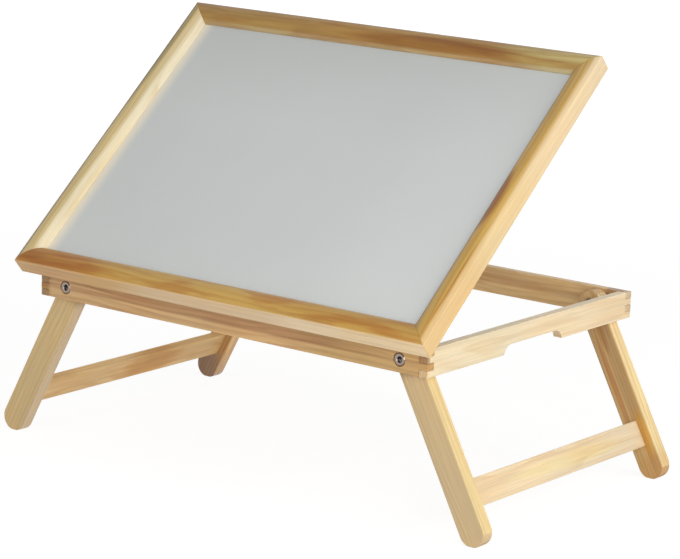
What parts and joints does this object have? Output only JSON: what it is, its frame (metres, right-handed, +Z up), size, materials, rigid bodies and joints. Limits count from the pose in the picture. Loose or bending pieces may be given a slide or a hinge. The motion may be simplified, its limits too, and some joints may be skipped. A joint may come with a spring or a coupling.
{
  "type": "bed tray",
  "caption": "Pine lap tray with a tilting framed panel on butt hinges, a fold-away prop standing in a notched block, and splayed leg pairs that fold flat inside the base frame.",
  "frame": {"origin": "on the floor under the middle of the bounding box, with the tray standing on its feet and its top propped up", "axes": "+X to the right seen from the low front edge, +Y to the back where the top stands high, +Z up"},
  "size_m": [0.6234, 0.3798, 0.4392],
  "materials": {
    "pine_rails": "clear satin lacquer over straight-grained pine",
    "pine_legs": "clear satin lacquer over pale pine",
    "pine_mouldings": "clear satin lacquer over golden pine with brown streaks",
    "pine_prop": "planed pine, thin lacquer",
    "beech_dowels": "turned beech, unfinished",
    "fibreboard": "raw brown hardboard",
    "laminate": "satin pale grey laminate",
    "zinc_steel": "zinc plated, semi-bright",
    "bright_steel": "plain bright strip",
    "nylon": "natural white nylon",
    "black_rubber": "matt black"
  },
  "bodies": {
    "base": {"front_rail": "pine_rails", "rear_rail": "pine_rails", "left_side_rail": "pine_rails", "right_side_rail": "pine_rails", "front_left_pivot_bolt": "zinc_steel", "front_right_pivot_bolt": "zinc_steel", "rear_left_pivot_bolt": "zinc_steel", "rear_right_pivot_bolt": "zinc_steel", "front_left_sleeve_nut": "zinc_steel", "front_right_sleeve_nut": "zinc_steel", "rear_left_sleeve_nut": "zinc_steel", "rear_right_sleeve_nut": "zinc_steel", "front_left_pivot_washer": "nylon", "front_right_pivot_washer": "nylon", "rear_left_pivot_washer": "nylon", "rear_right_pivot_washer": "nylon", "prop_notch_block": "pine_prop", "notch_block_left_dowel": "beech_dowels", "notch_block_right_dowel": "beech_dowels", "left_hinge_lower_leaf": "zinc_steel", "right_hinge_lower_leaf": "zinc_steel", "left_hinge_pin": "zinc_steel", "right_hinge_pin": "zinc_steel", "left_hinge_lower_left_screw": "zinc_steel", "left_hinge_lower_right_screw": "zinc_steel", "right_hinge_lower_left_screw": "zinc_steel", "right_hinge_lower_right_screw": "zinc_steel"},
    "left_leg_pair": {"left_front_leg": "pine_legs", "left_rear_leg": "pine_legs", "left_stretcher": "pine_legs"},
    "right_leg_pair": {"right_front_leg": "pine_legs", "right_rear_leg": "pine_legs", "right_stretcher": "pine_legs"},
    "tray": {"front_moulding": "pine_mouldings", "rear_moulding": "pine_mouldings", "left_moulding": "pine_mouldings", "right_moulding": "pine_mouldings", "front_left_mitre_nail": "bright_steel", "front_right_mitre_nail": "bright_steel", "rear_left_mitre_nail": "bright_steel", "rear_right_mitre_nail": "bright_steel", "panel_board": "fibreboard", "panel_laminate": "laminate", "prop_batten": "pine_prop", "prop_left_lug": "pine_prop", "prop_right_lug": "pine_prop", "prop_pin": "zinc_steel", "left_hinge_upper_leaf": "zinc_steel", "right_hinge_upper_leaf": "zinc_steel", "left_hinge_upper_left_screw": "zinc_steel", "left_hinge_upper_right_screw": "zinc_steel", "right_hinge_upper_left_screw": "zinc_steel", "right_hinge_upper_right_screw": "zinc_steel", "left_bumper": "black_rubber", "right_bumper": "black_rubber"},
    "prop": {"prop_left_arm": "pine_prop", "prop_right_arm": "pine_prop", "prop_foot_dowel": "beech_dowels"}
  },
  "joints": [
    {"name": "tray_tilt", "type": "hinge", "parent": "base", "child": "tray", "pos_m": [0, -0.1683, 0.18698], "axis": [1, 0, 0], "range_deg": [-40.8, 0]},
    {"name": "prop_fold", "type": "hinge", "parent": "tray", "child": "prop", "pos_m": [0, -0.0422, 0.28882], "axis": [1, 0, 0], "range_deg": [0, 160.8]},
    {"name": "left_leg_fold", "type": "hinge", "parent": "base", "child": "left_leg_pair", "pos_m": [-0.21443, 0.0134, 0.16978], "axis": [0, -1, 0], "range_deg": [0, 118]},
    {"name": "right_leg_fold", "type": "hinge", "parent": "base", "child": "right_leg_pair", "pos_m": [0.21443, 0.0134, 0.16978], "axis": [0, 1, 0], "range_deg": [0, 118]}
  ],
  "couplings": [
    {"joint": "prop_fold", "follows": "tray_tilt", "ratio": -3.94}
  ]
}
